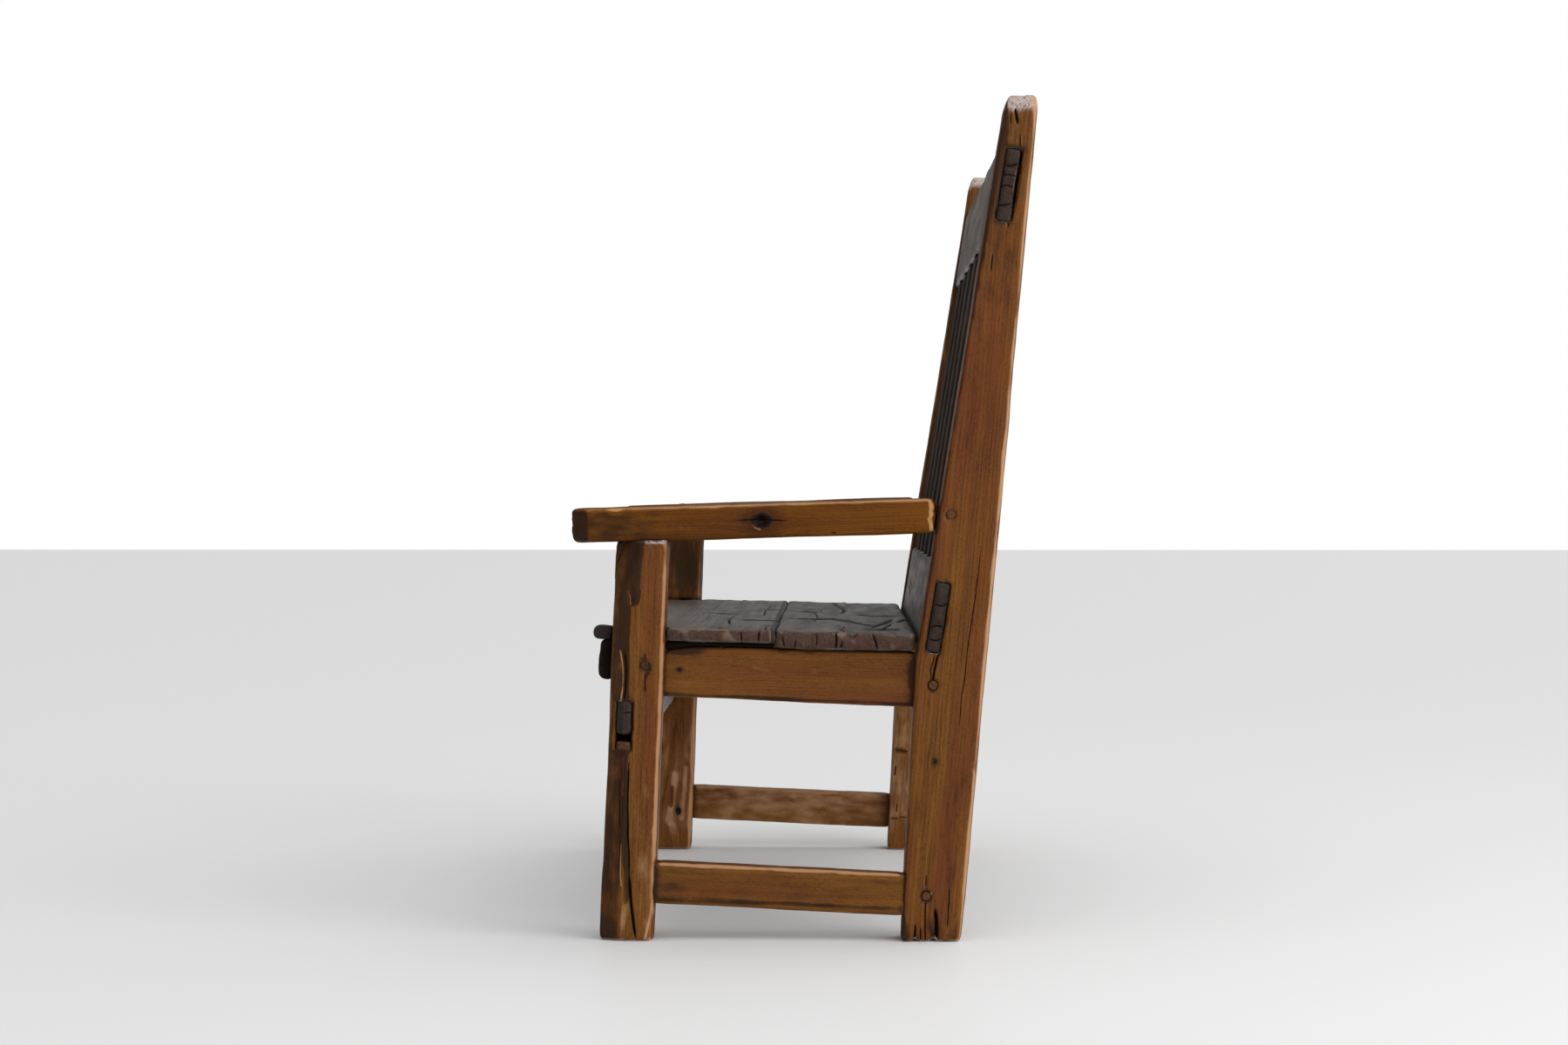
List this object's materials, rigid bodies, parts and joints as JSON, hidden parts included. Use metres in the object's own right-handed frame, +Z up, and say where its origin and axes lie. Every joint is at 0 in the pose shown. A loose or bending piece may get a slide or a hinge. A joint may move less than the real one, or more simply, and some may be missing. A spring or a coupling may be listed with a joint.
{
  "type": "wooden bench",
  "caption": "High-backed rustic wooden bench with pegged end frames, sloping arms, a board seat on end rails and a raked slatted back, standing free on its post ends.",
  "frame": {"origin": "on the floor at the middle of the bench's length and overall depth", "axes": "+X along the bench to the sitter's left, +Y from the front to the back, +Z up"},
  "size_m": [1.202, 0.6721, 1.216],
  "materials": {
    "frame_timber": "waxed antique softwood with worn arrises",
    "seat_timber": "weathered grey-brown boards with checks",
    "back_timber": "darkened, dry rails and slats",
    "peg_timber": "dark hand-cut pegs and wedges"
  },
  "bodies": {
    "root": {"front_post_left": "frame_timber", "front_post_right": "frame_timber", "rear_post_left": "frame_timber", "rear_post_right": "frame_timber", "arm_left": "frame_timber", "arm_right": "frame_timber", "seat_rail_left": "frame_timber", "seat_rail_right": "frame_timber", "stretcher_left": "frame_timber", "stretcher_right": "frame_timber", "seat_board_front": "seat_timber", "seat_board_rear": "seat_timber", "crest_rail": "back_timber", "lower_back_rail": "back_timber", "front_rail": "back_timber", "seat_apron": "back_timber", "back_slat_1": "back_timber", "back_slat_2": "back_timber", "back_slat_3": "back_timber", "back_slat_4": "back_timber", "back_slat_5": "back_timber", "seat_rail_front_peg_left": "peg_timber", "seat_rail_front_peg_right": "peg_timber", "seat_rail_rear_peg_left": "peg_timber", "seat_rail_rear_peg_right": "peg_timber", "stretcher_peg_left": "peg_timber", "stretcher_peg_right": "peg_timber", "arm_rear_peg_left": "peg_timber", "arm_rear_peg_right": "peg_timber", "arm_top_peg_left": "peg_timber", "arm_top_peg_right": "peg_timber", "apron_peg_left": "peg_timber", "apron_peg_right": "peg_timber", "seat_front_peg_left": "peg_timber", "seat_front_peg_right": "peg_timber", "seat_rear_peg_left": "peg_timber", "seat_rear_peg_right": "peg_timber", "seat_packing_left": "peg_timber", "seat_packing_right": "peg_timber", "front_rail_wedge_left": "peg_timber", "front_rail_wedge_right": "peg_timber"}
  },
  "joints": []
}
